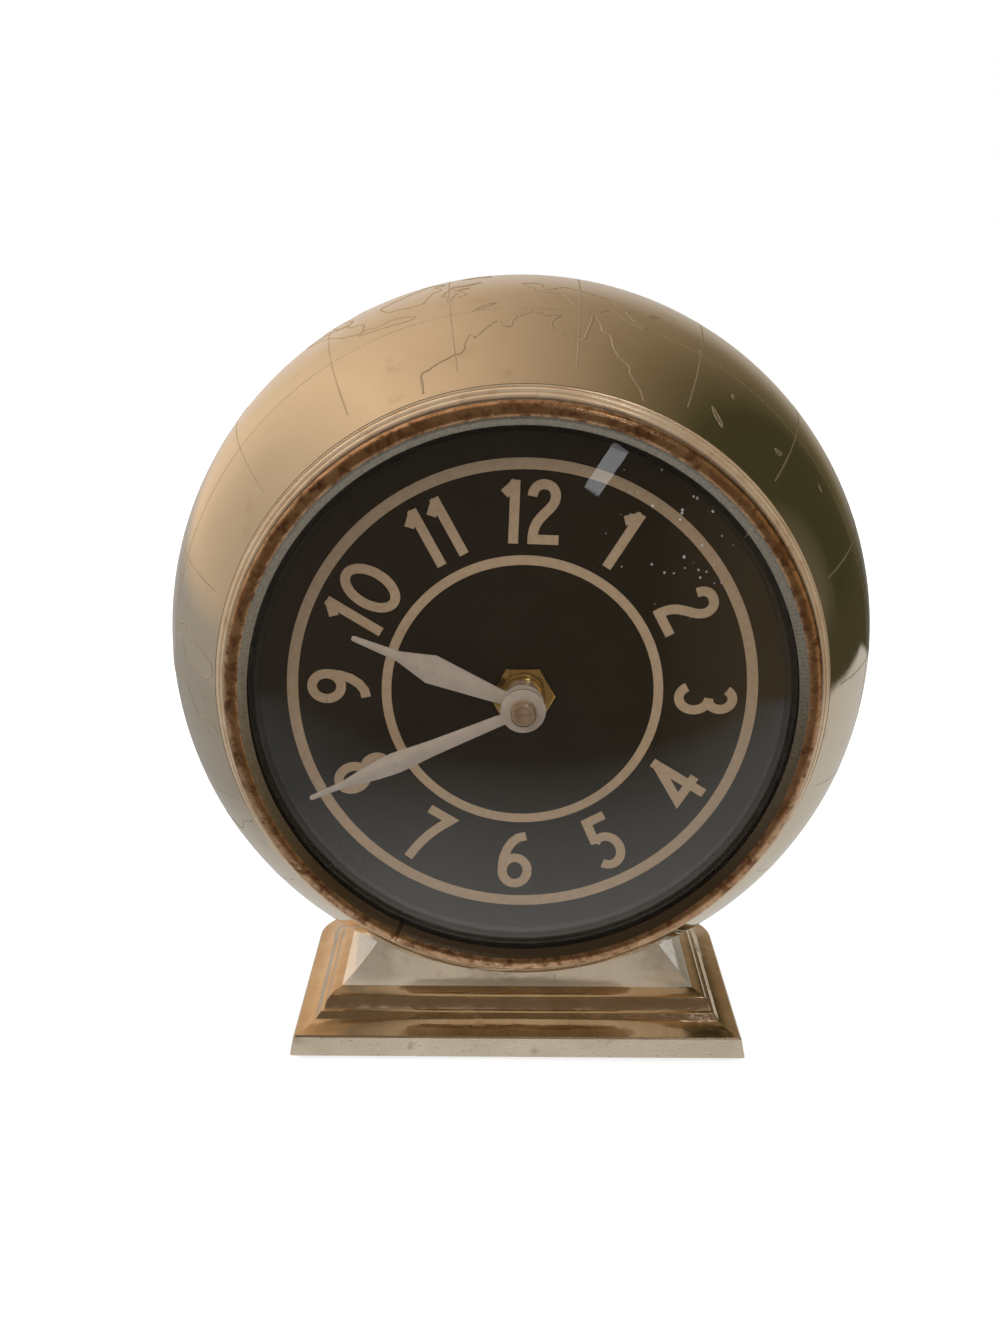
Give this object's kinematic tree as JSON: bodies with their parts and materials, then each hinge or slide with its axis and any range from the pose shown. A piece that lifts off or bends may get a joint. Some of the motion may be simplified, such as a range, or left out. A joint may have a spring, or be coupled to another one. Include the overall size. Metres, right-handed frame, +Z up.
{
  "type": "world time clock",
  "caption": "Table clock in a polished metal globe on a stepped cast base, with a domed glass over a dark dial and a battery insert that draws out of the front.",
  "frame": {"origin": "centre of the base's underside, where it rests on the table", "axes": "+Z up, the dial faces -Y, +X to the right of someone who looks at the dial"},
  "size_m": [0.16, 0.1512, 0.1782],
  "materials": {
    "globe_metal": "polished and plated, engraved",
    "base_metal": "cast, plated pale champagne, fine brushed",
    "trim_metal": "polished, rose gold tone",
    "inner_steel": "plain",
    "brass": "turned, bright",
    "hand_silver": "satin",
    "dial_black": "matt black lacquer with beige print",
    "clear_glass": "clear, polished",
    "black_plastic": "moulded",
    "white_plastic": "moulded",
    "black_rubber": "plain",
    "felt": "pressed felt",
    "copper_wire": "enamelled winding",
    "board": "laminate",
    "battery_sleeve": "plain sleeve",
    "magnet": "sintered"
  },
  "bodies": {
    "globe_and_base": {"globe_front": "globe_metal", "globe_rear": "globe_metal", "globe_seam_ring": "inner_steel", "globe_boss": "inner_steel", "front_rim": "trim_metal", "base_casting": "base_metal", "base_pad": "felt", "base_screw": "inner_steel", "base_washer": "inner_steel"},
    "clock_insert": {"movement_holder": "black_plastic", "grip_band": "black_rubber", "bezel_ring": "trim_metal", "glass_crystal": "clear_glass", "dial_surround": "black_plastic", "dial_plate": "dial_black", "dial_washer": "black_rubber", "mounting_nut": "brass", "movement_bush": "brass", "movement_case": "black_plastic", "movement_cover": "black_plastic", "cover_screws": "inner_steel", "train_plate": "white_plastic", "stator": "inner_steel", "coil_core": "inner_steel", "coil_bobbin": "white_plastic", "coil_winding": "copper_wire", "circuit_board": "board", "quartz_can": "inner_steel", "control_chip": "black_plastic", "contact_positive": "inner_steel", "contact_negative": "inner_steel"},
    "battery_cell": {"battery": "battery_sleeve"},
    "minute_hand_set": {"minute_hand": "hand_silver", "hand_cap_nut": "trim_metal", "minute_arbor": "brass", "friction_spring": "inner_steel"},
    "hour_hand_set": {"hour_hand": "hand_silver", "hour_wheel": "white_plastic"},
    "motion_wheel": {"minute_wheel": "white_plastic"},
    "setting_knob": {"set_arbor": "white_plastic", "set_knob": "black_plastic"},
    "rotor": {"rotor_magnet": "magnet", "rotor_pinion": "white_plastic"},
    "intermediate_gear": {"intermediate_wheel": "white_plastic"},
    "seconds_gear": {"seconds_wheel": "white_plastic"},
    "third_gear": {"third_wheel": "white_plastic"},
    "centre_gear": {"centre_wheel": "white_plastic"}
  },
  "joints": [
    {"name": "insert_slide", "type": "slide", "parent": "globe_and_base", "child": "clock_insert", "axis": [0, -1, 0], "range_m": [0, 0.04]},
    {"name": "battery_lift", "type": "slide", "parent": "clock_insert", "child": "battery_cell", "axis": [0, 1, 0], "range_m": [0, 0.018]},
    {"name": "minute_hand_turn", "type": "hinge", "parent": "clock_insert", "child": "minute_hand_set", "pos_m": [0, 0, 0.0982], "axis": [0, 1, 0], "continuous": true},
    {"name": "hour_hand_turn", "type": "hinge", "parent": "clock_insert", "child": "hour_hand_set", "pos_m": [0, 0, 0.0982], "axis": [0, 1, 0], "continuous": true},
    {"name": "motion_wheel_turn", "type": "hinge", "parent": "clock_insert", "child": "motion_wheel", "pos_m": [-0.00677, 0, 0.10066], "axis": [0, 1, 0], "continuous": true},
    {"name": "setting_knob_turn", "type": "hinge", "parent": "clock_insert", "child": "setting_knob", "pos_m": [-0.01386, 0, 0.10191], "axis": [0, 1, 0], "continuous": true},
    {"name": "rotor_turn", "type": "hinge", "parent": "clock_insert", "child": "rotor", "pos_m": [0.00562, 0, 0.11516], "axis": [0, 1, 0], "continuous": true},
    {"name": "intermediate_turn", "type": "hinge", "parent": "clock_insert", "child": "intermediate_gear", "pos_m": [0.01017, 0, 0.11253], "axis": [0, 1, 0], "continuous": true},
    {"name": "seconds_turn", "type": "hinge", "parent": "clock_insert", "child": "seconds_gear", "pos_m": [0.01017, 0, 0.10713], "axis": [0, 1, 0], "continuous": true},
    {"name": "third_turn", "type": "hinge", "parent": "clock_insert", "child": "third_gear", "pos_m": [0.00382, 0, 0.10483], "axis": [0, 1, 0], "continuous": true},
    {"name": "centre_turn", "type": "hinge", "parent": "clock_insert", "child": "centre_gear", "pos_m": [0, 0, 0.0982], "axis": [0, 1, 0], "continuous": true}
  ],
  "couplings": [
    {"joint": "hour_hand_turn", "follows": "minute_hand_turn", "ratio": 0.083333},
    {"joint": "motion_wheel_turn", "follows": "minute_hand_turn", "ratio": -0.33333},
    {"joint": "setting_knob_turn", "follows": "minute_hand_turn", "ratio": 1},
    {"joint": "intermediate_turn", "follows": "rotor_turn", "ratio": -0.16667},
    {"joint": "seconds_turn", "follows": "rotor_turn", "ratio": 0.033333},
    {"joint": "third_turn", "follows": "rotor_turn", "ratio": -0.0041667},
    {"joint": "centre_turn", "follows": "rotor_turn", "ratio": 0.00055556}
  ]
}
